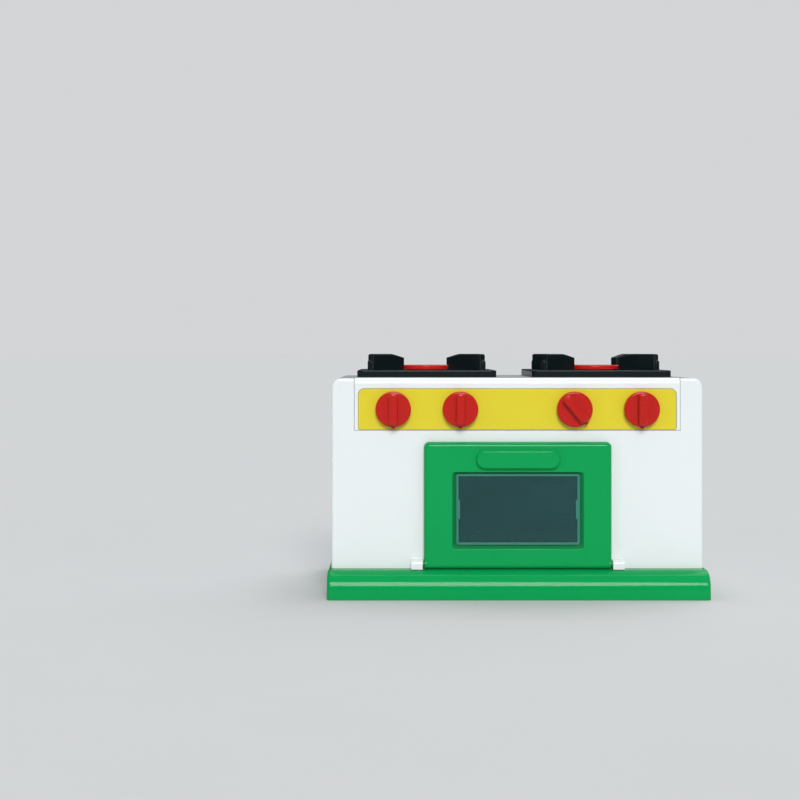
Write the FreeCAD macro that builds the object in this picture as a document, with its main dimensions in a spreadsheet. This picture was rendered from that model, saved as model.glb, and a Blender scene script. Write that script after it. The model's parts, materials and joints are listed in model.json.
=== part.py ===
import FreeCAD, Part
import math
import os
import Sketcher

# Toy oven in millimetres. X runs to the right, Y to the back and Z up.
# The origin is the middle of the base, on the surface that the oven stands on.

# Driving dimensions
SIZES = {
    # Clearances and allowances
    "fit_gap": 0.2,
    "run_gap": 0.4,
    "pin_play": 0.05,
    "bite": 0.6,
    "overrun": 1.0,
    # Cabinet
    "cab_width": 240.6,
    "cab_depth": 130.0,
    "cab_height": 123.0,
    "cab_wall": 2.2,
    "cab_top_round": 6.0,
    "cab_front_round": 2.0,
    "pillar_width": 14.9,
    "ledge_width": 4.0,
    "ledge_thick": 2.0,
    # Base
    "base_height": 18.3,
    "base_front": 15.0,
    "base_side": 2.4,
    "base_rear": 3.0,
    "base_wall": 2.2,
    "base_front_round": 12.0,
    "base_rear_round": 2.4,
    "base_end_round": 2.4,
    "rib_thick": 1.6,
    "rib_height": 8.0,
    "rib_spread": 120.0,
    # Screws and their bosses
    "boss_radius": 4.0,
    "boss_height": 14.0,
    "post_height": 4.0,
    "screw_radius": 1.3,
    "screw_grip": 11.0,
    "screw_head_radius": 2.8,
    "screw_head_height": 1.8,
    "rear_boss_foot": 24.0,
    "rear_boss_head": 24.0,
    # Rear cover
    "cover_thick": 2.2,
    "cover_field_margin": 16.0,
    "cover_field_depth": 0.8,
    "cover_field_round": 6.0,
    # Hob plate and its front apron
    "hob_thick": 3.2,
    "hob_proud": 0.3,
    "hob_front_round": 4.0,
    "apron_proud": 0.3,
    "apron_foot": 0.5,
    "tongue_width": 14.0,
    "tongue_thick": 1.8,
    "tongue_reach": 4.0,
    "tongue_spread": 130.0,
    "hook_thick": 2.0,
    "hook_length": 12.0,
    "hook_nose": 1.0,
    "hook_nose_height": 1.6,
    "hook_spread": 40.0,
    # Pan supports
    "support_front": 24.0,
    "support_rear": 13.4,
    "support_side": 1.0,
    "support_gap": 23.6,
    "support_round": 4.0,
    "rail_width": 6.5,
    "rail_height": 4.6,
    "rail_edge_round": 0.8,
    "fin_thick": 4.7,
    "fin_height": 15.5,
    "fin_inset": 12.6,
    "fin_clear": 1.6,
    "fin_edge_round": 1.2,
    "fin_slope_length": 12.0,
    "fin_slope_drop": 2.7,
    "toe_thick": 4.2,
    "toe_height": 11.5,
    "toe_reach": 2.1,
    "toe_round": 1.9,
    "support_peg_radius": 1.5,
    # Burner caps
    "burner_radius": 22.0,
    "burner_rise": 7.8,
    "burner_thick": 2.6,
    "burner_edge_round": 0.9,
    "burner_dish_margin": 5.0,
    "burner_dish_depth": 0.7,
    "burner_foot_radius": 14.0,
    "stem_radius": 2.4,
    "stem_tail": 2.0,
    "clip_thick": 1.4,
    "clip_rim": 2.6,
    "clip_slit": 1.2,
    # Control panel
    "panel_side": 2.5,
    "panel_drop": 7.0,
    "panel_height": 26.5,
    "panel_thick": 1.4,
    "panel_recess": 1.7,
    "panel_top_round": 4.0,
    "panel_bottom_round": 1.2,
    "panel_edge_round": 0.2,
    "panel_peg_radius": 1.3,
    "peg_proud": 1.2,
    # Knobs
    "knob_end": 22.6,
    "knob_pitch": 43.4,
    "knob_radius": 11.5,
    "knob_disc": 4.5,
    "knob_disc_round": 1.2,
    "grip_width": 5.8,
    "grip_height": 4.4,
    "grip_round": 1.6,
    "grip_end_round": 2.4,
    "pointer_width": 2.6,
    "pointer_proud": 1.0,
    "pointer_round": 0.8,
    "pointer_set": 1.2,
    "shaft_radius": 2.8,
    "shaft_tail": 1.5,
    # Door
    "door_width": 121.0,
    "door_thick": 6.0,
    "door_skin": 2.4,
    "door_wall": 2.2,
    "door_top_round": 3.5,
    "door_edge_round": 3.0,
    "foot_inset": 0.8,
    "door_drop": 7.75,
    # Hinge
    "pin_radius": 1.6,
    "lug_wall": 1.0,
    "lug_width": 7.4,
    "lug_side_gap": 0.8,
    "lug_cap": 1.2,
    # Handle
    "handle_width": 53.8,
    "handle_height": 11.8,
    "handle_drop": 5.25,
    "handle_proud": 3.0,
    "handle_edge_round": 1.2,
    "handle_peg_radius": 1.6,
    "handle_peg_spread": 30.0,
    "handle_peg_tail": 0.9,
    # Window
    "window_side": 20.8,
    "window_rise": 15.6,
    "window_drop": 3.5,
    "window_round": 1.6,
    "recess_margin": 3.0,
    "recess_head": 1.4,
    "recess_depth": 1.6,
    "recess_round": 2.2,
    "recess_land": 0.3,
    "pane_set": 0.5,
    "pane_rim_width": 1.4,
    "pane_rim_proud": 0.6,
    "pane_wall": 1.2,
    "pane_flange": 2.6,
    "tab_width": 2.4,
    "tab_height": 12.0,
    # Window retainer and its screws
    "retainer_lap": 2.4,
    "mini_inset": 5.0,
    "mini_boss_radius": 2.4,
    "mini_radius": 0.9,
    "mini_head_radius": 2.0,
    "mini_head_height": 1.0,
    "mini_grip": 2.2,
    "catch_width": 16.0,
    "catch_thick": 2.0,
    "catch_reach": 4.2,
    "catch_lip": 0.6,
    "catch_clear": 0.9,
    # Oven opening, liner and shelf
    "opening_side": 6.0,
    "opening_drop": 5.0,
    "opening_round": 3.0,
    "sill_height": 8.0,
    "liner_wall": 1.5,
    "liner_flange": 5.0,
    "liner_rear_gap": 21.6,
    "liner_peg_radius": 1.2,
    "shelf_rise": 26.0,
    "shelf_thick": 2.4,
    "shelf_front": 8.0,
    "shelf_border": 6.0,
    "shelf_bar": 3.2,
    "runner_width": 3.0,
    "runner_thick": 2.0,
}

# Turn of each knob in degrees, seen from the front, from the leftmost to the rightmost
KNOB_TURNS = (0, 0, 40, 0)
SHELF_SLOTS = 9
QUARTER_TURN = math.pi / 2
FULL_TURN_DEGREES = 360
# Share of the pin play within which an edge counts as lying on a plane
MATCH_SHARE = 0.2
SIDES = (-1, 1)


class Size:
    """A length known both as a spreadsheet expression and as its present value."""

    def __init__(self, text, value):
        self.text = text
        self.value = value

    def __add__(self, other):
        return combine(self, "+", other)

    def __radd__(self, other):
        return combine(other, "+", self)

    def __sub__(self, other):
        return combine(self, "-", other)

    def __rsub__(self, other):
        return combine(other, "-", self)

    def __mul__(self, other):
        return combine(self, "*", other)

    def __rmul__(self, other):
        return combine(other, "*", self)

    def __truediv__(self, other):
        return combine(self, "/", other)

    def __neg__(self):
        return combine(-1, "*", self)


OPERATIONS = {
    "+": lambda a, b: a + b,
    "-": lambda a, b: a - b,
    "*": lambda a, b: a * b,
    "/": lambda a, b: a / b,
}


def as_size(value):
    return value if isinstance(value, Size) else Size(str(value), value)


def combine(first, sign, second):
    first, second = as_size(first), as_size(second)
    value = OPERATIONS[sign](first.value, second.value)
    return Size(f"({first.text} {sign} {second.text})", value)


def root(size):
    return Size(f"sqrt({size.text})", math.sqrt(size.value))


class Dimensions:
    """The spreadsheet of driving dimensions, with each alias as an attribute."""

    def __init__(self, document, sizes):
        sheet = document.addObject("Spreadsheet::Sheet", "Sizes")
        for row, (name, value) in enumerate(sizes.items(), start=1):
            sheet.set(f"A{row}", name)
            sheet.set(f"B{row}", str(value))
            sheet.setAlias(f"B{row}", name)
            setattr(self, name, Size(f"Sizes.{name}", value))
        document.recompute()


doc = FreeCAD.newDocument("toy_oven")
d = Dimensions(doc, SIZES)
ZERO = as_size(0)


# Sketch outlines

def bind(sketch, constraint, size):
    index = sketch.addConstraint(constraint)
    sketch.setExpression(f"Constraints[{index}]", size.text)


def fix_point(sketch, geometry, point, x, y):
    """Hold one point of a sketch element at two bound coordinates."""
    bind(sketch, Sketcher.Constraint("DistanceX", -1, 1, geometry, point, x.value), x)
    bind(sketch, Sketcher.Constraint("DistanceY", -1, 1, geometry, point, y.value), y)


def add_arc(sketch, x, y, radius, sweep):
    """A part circle between two angles, held by its centre and radius."""
    centre = FreeCAD.Vector(x.value, y.value, 0)
    ring = Part.Circle(centre, FreeCAD.Vector(0, 0, 1), radius.value)
    arc = sketch.addGeometry(Part.ArcOfCircle(ring, *sweep))
    bind(sketch, Sketcher.Constraint("Radius", arc, radius.value), radius)
    fix_point(sketch, arc, 3, x, y)
    return arc


def add_line(sketch, start, end):
    line = Part.LineSegment(FreeCAD.Vector(*start, 0), FreeCAD.Vector(*end, 0))
    return sketch.addGeometry(line)


def towards(start, end):
    """Unit steps from one corner towards the next along X and Y."""
    run_x, run_y = end[0].value - start[0].value, end[1].value - start[1].value
    length = math.hypot(run_x, run_y)
    return round(run_x / length), round(run_y / length)


def outline(*corners):
    """A closed loop, counter-clockwise, with an arc at each square corner that names a radius."""
    def draw(sketch):
        count = len(corners)
        entries, exits = [], []
        for index, corner in enumerate(corners):
            point = (corner[0].value, corner[1].value)
            if len(corner) == 2:
                entries.append(point)
                exits.append(point)
                continue
            reach = corner[2].value
            back = towards(corner, corners[index - 1])
            ahead = towards(corner, corners[(index + 1) % count])
            entries.append((point[0] + reach * back[0], point[1] + reach * back[1]))
            exits.append((point[0] + reach * ahead[0], point[1] + reach * ahead[1]))
        lines = [add_line(sketch, exits[i], entries[(i + 1) % count]) for i in range(count)]
        for index, corner in enumerate(corners):
            before, after = lines[index - 1], lines[index]
            if len(corner) == 2:
                sketch.addConstraint(Sketcher.Constraint("Coincident", before, 2, after, 1))
                fix_point(sketch, after, 1, corner[0], corner[1])
                continue
            back = towards(corner, corners[index - 1])
            ahead = towards(corner, corners[(index + 1) % count])
            centre_x = corner[0] + corner[2] * (back[0] + ahead[0])
            centre_y = corner[1] + corner[2] * (back[1] + ahead[1])
            start = math.atan2(-ahead[1], -ahead[0])
            arc = add_arc(sketch, centre_x, centre_y, corner[2], (start, start + QUARTER_TURN))
            sketch.addConstraint(Sketcher.Constraint("Tangent", before, 2, arc, 1))
            sketch.addConstraint(Sketcher.Constraint("Tangent", arc, 2, after, 1))
    return draw


def rectangle(left, right, bottom, top, low_round=None, high_round=None):
    """An upright rectangle whose lower and upper corners may be rounded."""
    low = (low_round,) if low_round else ()
    high = (high_round,) if high_round else ()
    return outline(
        (left, bottom, *low), (right, bottom, *low), (right, top, *high), (left, top, *high))


def stadium(left, right, middle, radius):
    """Two half circles joined by straight lines."""
    def draw(sketch):
        ends = (left + radius, right - radius)
        low, high = middle - radius, middle + radius
        start = add_arc(sketch, ends[0], middle, radius, (QUARTER_TURN, 3 * QUARTER_TURN))
        lower = add_line(sketch, (ends[0].value, low.value), (ends[1].value, low.value))
        end = add_arc(sketch, ends[1], middle, radius, (-QUARTER_TURN, QUARTER_TURN))
        upper = add_line(sketch, (ends[1].value, high.value), (ends[0].value, high.value))
        loop = (start, lower, end, upper)
        for index, element in enumerate(loop):
            following = loop[(index + 1) % len(loop)]
            sketch.addConstraint(Sketcher.Constraint("Tangent", element, 2, following, 1))
    return draw


def bar(start, end, along, half):
    """A strip from the origin's side outwards, with a flat inner and a round outer end."""
    def draw(sketch):
        heading = math.atan2(along[1].value, along[0].value)
        far = (end * along[0], end * along[1])
        near = [(start * along[0] - side * half * along[1], start * along[1] + side * half * along[0])
                for side in SIDES]
        tips = [(far[0] - side * half * along[1], far[1] + side * half * along[0]) for side in SIDES]
        values = [[(x.value, y.value) for x, y in pair] for pair in (near, tips)]
        right = add_line(sketch, values[0][0], values[1][0])
        arc = add_arc(sketch, *far, half, (heading - QUARTER_TURN, heading + QUARTER_TURN))
        left = add_line(sketch, values[1][1], values[0][1])
        inner = add_line(sketch, values[0][1], values[0][0])
        sketch.addConstraint(Sketcher.Constraint("Tangent", right, 2, arc, 1))
        sketch.addConstraint(Sketcher.Constraint("Tangent", arc, 2, left, 1))
        sketch.addConstraint(Sketcher.Constraint("Coincident", left, 2, inner, 1))
        sketch.addConstraint(Sketcher.Constraint("Coincident", inner, 2, right, 1))
        fix_point(sketch, right, 1, *near[0])
        fix_point(sketch, inner, 1, *near[1])
    return draw


def strip(start, end, along, half):
    """A strip with flat ends that points outwards from the origin."""
    ends = ((start, -1), (end, -1), (end, 1), (start, 1))
    return outline(*(
        (reach * along[0] - side * half * along[1], reach * along[1] + side * half * along[0])
        for reach, side in ends))


def circle(x, y, radius):
    def draw(sketch):
        centre = FreeCAD.Vector(x.value, y.value, 0)
        ring = sketch.addGeometry(Part.Circle(centre, FreeCAD.Vector(0, 0, 1), radius.value))
        bind(sketch, Sketcher.Constraint("Radius", ring, radius.value), radius)
        fix_point(sketch, ring, 3, x, y)
    return draw


class Piece:
    """One sub-part: a body whose features are sketches padded or pocketed between two levels."""

    # The normal of the XZ plane points to the front, against Y
    FACING = {"XY": 1, "XZ": -1, "YZ": 1}

    def __init__(self, label):
        self.body = doc.addObject("PartDesign::Body", label)
        self.body.Label = label
        self.body.AllowCompound = True
        pieces.append(self)

    def sketch(self, plane, level, shapes):
        sketch = self.body.newObject("Sketcher::SketchObject", "Sketch")
        support = [item for item in self.body.Origin.OriginFeatures if item.Role == f"{plane}_Plane"]
        sketch.AttachmentSupport = [(support[0], "")]
        sketch.MapMode = "FlatFace"
        sketch.setExpression("AttachmentOffset.Base.z", (self.FACING[plane] * level).text)
        for draw in shapes:
            draw(sketch)
        return sketch

    def feature(self, kind, plane, level, length, shapes):
        before = self.body.Shape.Volume if self.body.Tip else 0
        sketch = self.sketch(plane, level, shapes)
        feature = self.body.newObject(kind, kind.split("::")[1])
        feature.Profile = sketch
        feature.setExpression("Length", length.text)
        self.settle(feature, before, kind == "PartDesign::Pad")

    def settle(self, feature, before, adds):
        """Recompute, and see that the feature added or took away material as it should."""
        doc.recompute()
        grown = self.body.Shape.Volume - before
        if (grown > 0) != adds or grown == 0:
            raise RuntimeError(f"{self.body.Label}: {feature.Name} changed the volume by {grown}")

    def add(self, plane, low, high, *shapes):
        """Material between two levels along the plane's normal."""
        level = high if plane == "XZ" else low
        self.feature("PartDesign::Pad", plane, level, high - low, shapes)

    def cut(self, plane, low, high, *shapes):
        """A cut between two levels along the plane's normal."""
        level = low if plane == "XZ" else high
        self.feature("PartDesign::Pocket", plane, level, high - low, shapes)

    def cut_sloped(self, plane, first, second):
        """A cut that runs straight from one outline to another, each given with its level."""
        before = self.body.Shape.Volume
        sketches = [self.sketch(plane, level, [shape]) for level, shape in (first, second)]
        slope = self.body.newObject("PartDesign::SubtractiveLoft", "Slope")
        slope.Profile = sketches[0]
        slope.Sections = sketches[1:]
        slope.Ruled = True
        self.settle(slope, before, False)

    def cut_turned(self, shape):
        """A cut turned full circle about the upright axis."""
        before = self.body.Shape.Volume
        sketch = self.sketch("XZ", ZERO, [shape])
        groove = self.body.newObject("PartDesign::Groove", "Groove")
        groove.Profile = sketch
        groove.ReferenceAxis = (sketch, ["V_Axis"])
        groove.Angle = FULL_TURN_DEGREES
        self.settle(groove, before, False)

    def round_edges(self, radius, chosen, curve=object):
        """A fillet on the edges of a kind of curve whose bounding box passes a test."""
        base = self.body.Tip
        edges = enumerate(base.Shape.Edges, start=1)
        names = [f"Edge{number}" for number, edge in edges
                 if chosen(edge.BoundBox) and isinstance(edge.Curve, curve)]
        fillet = self.body.newObject("PartDesign::Fillet", "Round")
        fillet.Base = (base, names)
        fillet.setExpression("Radius", radius.text)
        doc.recompute()
        if "Invalid" in fillet.State:
            raise RuntimeError(f"{self.body.Label}: {fillet.Name} failed on {names}")

    def place(self, x, y, z):
        for axis, size in zip("xyz", (x, y, z)):
            self.body.setExpression(f"Placement.Base.{axis}", size.text)
        doc.recompute()


pieces = []


def same(value, size):
    return abs(value - size.value) < d.pin_play.value * MATCH_SHARE


# Main levels and places, worked out from the driving dimensions

base_width = d.cab_width + 2 * d.base_side
base_front_y = -(d.base_front + d.cab_depth + d.base_rear) / 2
base_rear_y = -base_front_y
front_y = base_front_y + d.base_front
rear_y = front_y + d.cab_depth
wall_in_y = front_y + d.cab_wall
half_width = d.cab_width / 2
base_top = d.base_height
cab_top = base_top + d.cab_height

hob_half = half_width - d.pillar_width
hob_top = cab_top + d.hob_proud
hob_under = hob_top - d.hob_thick
ledge_half = hob_half - d.ledge_width
ledge_under = hob_under - d.ledge_thick
cover_top = ledge_under - d.fit_gap
cover_in_y = rear_y - d.cover_thick

apron_y = front_y - d.apron_proud
panel_half = hob_half - d.panel_side
panel_top = hob_top - d.panel_drop
panel_bottom = panel_top - d.panel_height
apron_bottom = panel_bottom - d.apron_foot
panel_seat_y = apron_y + d.panel_recess
panel_front_y = panel_seat_y - d.panel_thick
knob_z = (panel_top + panel_bottom) / 2
knob_outer = panel_half - d.knob_end
knob_inner = knob_outer - d.knob_pitch
knob_places = (-knob_outer, -knob_inner, knob_inner, knob_outer)
panel_peg_reach = knob_outer - d.knob_pitch / 2
panel_peg_places = (-panel_peg_reach, ZERO, panel_peg_reach)

door_half = d.door_width / 2
door_back_y = front_y - d.run_gap
door_front_y = door_back_y - d.door_thick
pivot_y = door_back_y - d.door_thick / 2
pivot_z = base_top + d.run_gap + d.door_thick / 2
door_bottom = base_top + d.run_gap
door_top = panel_bottom - d.door_drop
skin_back_y = door_front_y + d.door_skin
pocket_half = door_half - d.door_wall
pocket_bottom = pivot_z + d.door_thick / 2 + d.bite
pocket_top = door_top - d.door_wall
retainer_front_y = skin_back_y + d.pane_wall

handle_top = door_top - d.handle_drop
handle_bottom = handle_top - d.handle_height
handle_z = (handle_top + handle_bottom) / 2
window_half = door_half - d.window_side
window_bottom = door_bottom + d.window_rise
window_top = handle_bottom - d.window_drop
window_z = (window_bottom + window_top) / 2

lug_inner = door_half + d.lug_side_gap
lug_outer = lug_inner + d.lug_width
lug_radius = d.pin_radius + d.pin_play + d.lug_wall
pin_end = lug_outer - d.lug_cap - d.run_gap

opening_half = door_half - d.opening_side
opening_bottom = base_top + d.sill_height
opening_top = door_top - d.opening_drop
liner_rear_y = cover_in_y - d.liner_rear_gap
liner_peg_x = opening_half + d.liner_wall + d.liner_flange / 2
shelf_z = opening_bottom + d.shelf_rise

support_width = hob_half - d.support_gap / 2 - d.support_side
support_depth = d.cab_depth - d.support_front - d.support_rear
support_x = (support_width + d.support_gap) / 2
support_y = front_y + d.support_front + support_depth / 2
support_peg_x = (support_width - d.rail_width) / 2
support_peg_y = (support_depth - d.rail_width) / 2

boss_x = half_width - d.cab_wall - d.boss_radius + d.bite
boss_front_y = wall_in_y + d.boss_radius - d.bite
boss_rear_y = cover_in_y - d.fit_gap - d.boss_radius
base_screw_places = [(side * boss_x, y) for side in SIDES for y in (boss_front_y, boss_rear_y)]
rear_boss_heights = (base_top + d.rear_boss_foot, cab_top - d.rear_boss_head)
rear_screw_places = [(side * boss_x, z) for side in SIDES for z in rear_boss_heights]
mini_x = pocket_half - d.mini_inset
mini_heights = (pocket_bottom + d.mini_inset, pocket_top - d.mini_inset)
mini_places = [(side * mini_x, z) for side in SIDES for z in mini_heights]
pilot_radius = d.screw_radius + d.pin_play
mini_pilot_radius = d.mini_radius + d.pin_play


def circles(places, radius):
    return [circle(as_size(x), as_size(y), radius) for x, y in places]


def both_sides(inner, outer):
    """The left and the right span along X of a feature that both sides have."""
    return ((-outer, -inner), (inner, outer))


# Base and cabinet

def base_tray():
    """Upturned tray whose front edge is round, with screw posts, ribs and hinge keepers."""
    tray = Piece("base_tray")
    half = base_width / 2
    tray.add("YZ", -half, half, outline(
        (base_front_y, ZERO), (base_rear_y, ZERO),
        (base_rear_y, base_top, d.base_rear_round), (base_front_y, base_top, d.base_front_round)))
    tray.round_edges(d.base_end_round, lambda box: (
        same(abs(box.XMin), half) and same(abs(box.XMax), half)
        and same(box.XLength, ZERO) and box.ZMax > d.base_wall.value))
    inner = half - d.base_wall
    ceiling = base_top - d.base_wall
    tray.cut("YZ", -inner, inner, outline(
        (base_front_y + d.base_wall, -d.overrun), (base_rear_y - d.base_wall, -d.overrun),
        (base_rear_y - d.base_wall, ceiling),
        (base_front_y + d.base_wall, ceiling, d.base_front_round - d.base_wall)))
    rib_bottom = ceiling - d.rib_height
    rib_start = base_front_y + d.base_front_round
    rib_end = base_rear_y - d.base_wall + d.bite
    for side in SIDES:
        middle = side * d.rib_spread / 2
        tray.add("XY", rib_bottom, ceiling + d.bite, rectangle(
            middle - d.rib_thick / 2, middle + d.rib_thick / 2, rib_start, rib_end))
    tray.add("XY", rib_bottom, ceiling + d.bite, rectangle(
        -inner - d.bite, inner + d.bite, -d.rib_thick / 2, d.rib_thick / 2))
    tray.add("XY", ceiling - d.post_height, ceiling + d.bite, *circles(base_screw_places, d.boss_radius))
    tray.cut("XY", ceiling - d.post_height - d.overrun, base_top + d.overrun,
             *circles(base_screw_places, pilot_radius))
    keeper = d.pin_radius - d.fit_gap
    for low, high in both_sides(lug_inner, lug_outer - d.lug_cap - d.fit_gap):
        tray.add("YZ", low, high, rectangle(
            pivot_y - keeper, pivot_y + keeper, base_top - d.bite, pivot_z - d.pin_radius - d.pin_play))


def cabinet_shell():
    """White case, open at the back and below, with hinge lugs, hob ledges and screw bosses."""
    shell = Piece("cabinet_shell")
    shell.add("XZ", front_y, rear_y, rectangle(
        -half_width, half_width, base_top, cab_top, None, d.cab_top_round))
    shell.round_edges(d.cab_front_round, lambda box: (
        same(box.YMin, front_y) and same(box.YMax, front_y) and box.ZMax > base_top.value + d.bite.value))
    inner = half_width - d.cab_wall
    shell.cut("XZ", wall_in_y, rear_y + d.overrun, rectangle(
        -inner, inner, base_top - d.overrun, cab_top - d.cab_wall, None, d.cab_top_round - d.cab_wall))
    for low, high in both_sides(ledge_half, inner):
        shell.add("XZ", front_y + d.cab_wall / 2, rear_y, rectangle(
            low, high, ledge_under, cab_top - d.cab_wall / 2))
    hob_gap = hob_half + d.fit_gap
    shell.cut("XY", hob_under, cab_top + d.overrun, rectangle(
        -hob_gap, hob_gap, front_y - d.overrun, rear_y + d.overrun))
    shell.cut("XZ", front_y - d.overrun, wall_in_y + d.fit_gap, rectangle(
        -hob_gap, hob_gap, apron_bottom - d.fit_gap, cab_top))
    shell.cut("XZ", front_y - d.overrun, wall_in_y + d.overrun, rectangle(
        -opening_half, opening_half, opening_bottom, opening_top, d.opening_round, d.opening_round))
    liner_pegs = [(side * liner_peg_x, z) for side in SIDES for z in (opening_bottom, opening_top)]
    shell.add("XZ", wall_in_y - d.bite, wall_in_y + d.liner_wall + d.peg_proud,
              *circles(liner_pegs, d.liner_peg_radius))
    shell.add("XY", base_top, base_top + d.boss_height, *circles(base_screw_places, d.boss_radius))
    shell.cut("XY", base_top - d.overrun, base_top + d.screw_grip + d.overrun,
              *circles(base_screw_places, pilot_radius))
    boss_start = cover_in_y - d.boss_height
    shell.add("XZ", boss_start, cover_in_y, *circles(rear_screw_places, d.boss_radius))
    shell.cut("XZ", cover_in_y - d.screw_grip - d.overrun, cover_in_y + d.overrun,
              *circles(rear_screw_places, pilot_radius))
    bore = d.pin_radius + d.pin_play
    for low, high in both_sides(lug_inner, lug_outer):
        shell.add("YZ", low, high, outline(
            (pivot_y - lug_radius, base_top), (front_y + d.bite, base_top),
            (front_y + d.bite, pivot_z + lug_radius),
            (pivot_y - lug_radius, pivot_z + lug_radius, lug_radius)))
    for low, high in both_sides(lug_inner - d.overrun, lug_outer - d.lug_cap):
        shell.cut("YZ", low, high, circle(pivot_y, pivot_z, bore))
        shell.cut("YZ", low, high, rectangle(
            pivot_y - bore, pivot_y + bore, base_top - d.overrun, pivot_z))


def rear_cover():
    """Back panel with a sunk field, held by four screws."""
    cover = Piece("rear_cover")
    half = half_width - d.cab_wall - d.fit_gap
    bottom = base_top + d.fit_gap
    cover.add("XZ", cover_in_y, rear_y, rectangle(-half, half, bottom, cover_top))
    margin = d.cover_field_margin
    cover.cut("XZ", rear_y - d.cover_field_depth, rear_y + d.overrun, rectangle(
        margin - half, half - margin, bottom + margin, cover_top - margin,
        d.cover_field_round, d.cover_field_round))
    cover.cut("XZ", cover_in_y - d.overrun, rear_y + d.overrun, *circles(rear_screw_places, pilot_radius))


def hob_plate():
    """White top with a front apron for the panel, holes for the hob fittings, and hooks below."""
    plate = Piece("hob_plate")
    plate.add("YZ", -hob_half, hob_half, outline(
        (apron_y, apron_bottom), (wall_in_y, apron_bottom), (wall_in_y, hob_under),
        (rear_y, hob_under), (rear_y, hob_top), (apron_y, hob_top)))
    plate.round_edges(d.hob_front_round, lambda box: (
        same(box.YMax, apron_y) and same(box.ZMin, hob_top)))
    plate.round_edges(d.panel_edge_round, lambda box: same(box.YMax, apron_y))
    lip = ledge_half - d.fit_gap
    plate.add("XZ", cover_in_y, rear_y, rectangle(-lip, lip, cover_top + d.fit_gap, hob_under + d.bite))
    nose_top = ledge_under - d.fit_gap
    nose_bottom = nose_top - d.hook_nose_height
    for side in SIDES:
        middle = support_y + side * d.hook_spread / 2
        start, end = middle - d.hook_length / 2, middle + d.hook_length / 2
        for low, high in both_sides(lip - d.hook_thick, lip):
            plate.add("XY", nose_bottom, hob_under + d.bite, rectangle(low, high, start, end))
        for low, high in both_sides(lip - d.hook_thick, lip + d.hook_nose):
            plate.add("XY", nose_bottom, nose_top, rectangle(low, high, start, end))
    stems = [(side * support_x, support_y) for side in SIDES]
    pegs = [(side * support_x + peg * support_peg_x, support_y + end * support_peg_y)
            for side in SIDES for peg in SIDES for end in SIDES]
    plate.cut("XY", hob_under - d.overrun, hob_top + d.overrun,
              *circles(stems, d.stem_radius + d.pin_play),
              *circles(pegs, d.support_peg_radius + d.pin_play))
    plate.cut("XZ", apron_y - d.overrun, panel_seat_y, rectangle(
        -panel_half - d.fit_gap, panel_half + d.fit_gap, panel_bottom - d.fit_gap, panel_top + d.fit_gap,
        d.panel_bottom_round + d.fit_gap, d.panel_top_round + d.fit_gap))
    knob_holes = circles([(x, knob_z) for x in knob_places], d.shaft_radius + d.pin_play)
    peg_holes = circles([(x, knob_z) for x in panel_peg_places], d.panel_peg_radius + d.pin_play)
    plate.cut("XZ", apron_y, wall_in_y + d.overrun, *knob_holes, *peg_holes)
    tongue_y = wall_in_y + d.fit_gap
    for side in SIDES:
        middle = side * d.tongue_spread / 2
        left, right = middle - d.tongue_width / 2, middle + d.tongue_width / 2
        plate.add("XZ", wall_in_y - d.bite, tongue_y + d.tongue_thick, rectangle(
            left, right, apron_bottom, apron_bottom + d.tongue_reach))
        plate.add("XZ", tongue_y, tongue_y + d.tongue_thick, rectangle(
            left, right, apron_bottom - d.tongue_reach, apron_bottom + d.tongue_reach))


# Hob fittings

def pan_support(side, label):
    """Square grate with four diagonal fins, a domed toe at the end of each, and pegs at its corners."""
    grate = Piece(label)
    half_x, half_y = support_width / 2, support_depth / 2
    open_x, open_y = half_x - d.rail_width, half_y - d.rail_width
    grate.add("XY", ZERO, d.rail_height,
              rectangle(-half_x, half_x, -half_y, half_y, d.support_round, d.support_round),
              rectangle(-open_x, open_x, -open_y, open_y))
    grate.round_edges(d.rail_edge_round, lambda box: same(box.ZMin, d.rail_height))
    diagonal = root(half_x * half_x + half_y * half_y)
    headings = [(x * half_x / diagonal, y * half_y / diagonal) for x in SIDES for y in SIDES]
    inner = d.burner_radius + d.fin_clear
    outer = diagonal - d.fin_inset
    half = d.fin_thick / 2
    seat = d.rail_height - d.bite
    grate.add("XY", ZERO, d.rail_height, *(
        bar(inner, diagonal - d.rail_width, heading, half) for heading in headings))
    grate.add("XY", seat, d.fin_height, *(strip(inner, outer, heading, half) for heading in headings))
    grate.round_edges(d.fin_edge_round, lambda box: same(box.ZMin, d.fin_height))
    toe = d.toe_thick / 2
    grate.add("XY", seat, d.toe_height, *(
        bar(outer - d.bite, outer + d.toe_reach - toe, heading, toe) for heading in headings))
    grate.round_edges(d.toe_round, lambda box: same(box.ZMin, d.toe_height), Part.Circle)
    slope_end = inner + d.fin_slope_length
    apex = d.fin_height - d.fin_slope_drop * slope_end / d.fin_slope_length
    grate.cut_turned(outline(
        (ZERO, apex), (slope_end, d.fin_height), (slope_end, d.fin_height + d.overrun),
        (ZERO, d.fin_height + d.overrun)))
    pegs = [(peg * support_peg_x, end * support_peg_y) for peg in SIDES for end in SIDES]
    grate.add("XY", d.fit_gap - d.hob_thick, d.bite, *circles(pegs, d.support_peg_radius))
    grate.place(side * support_x, support_y, hob_top)


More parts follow.
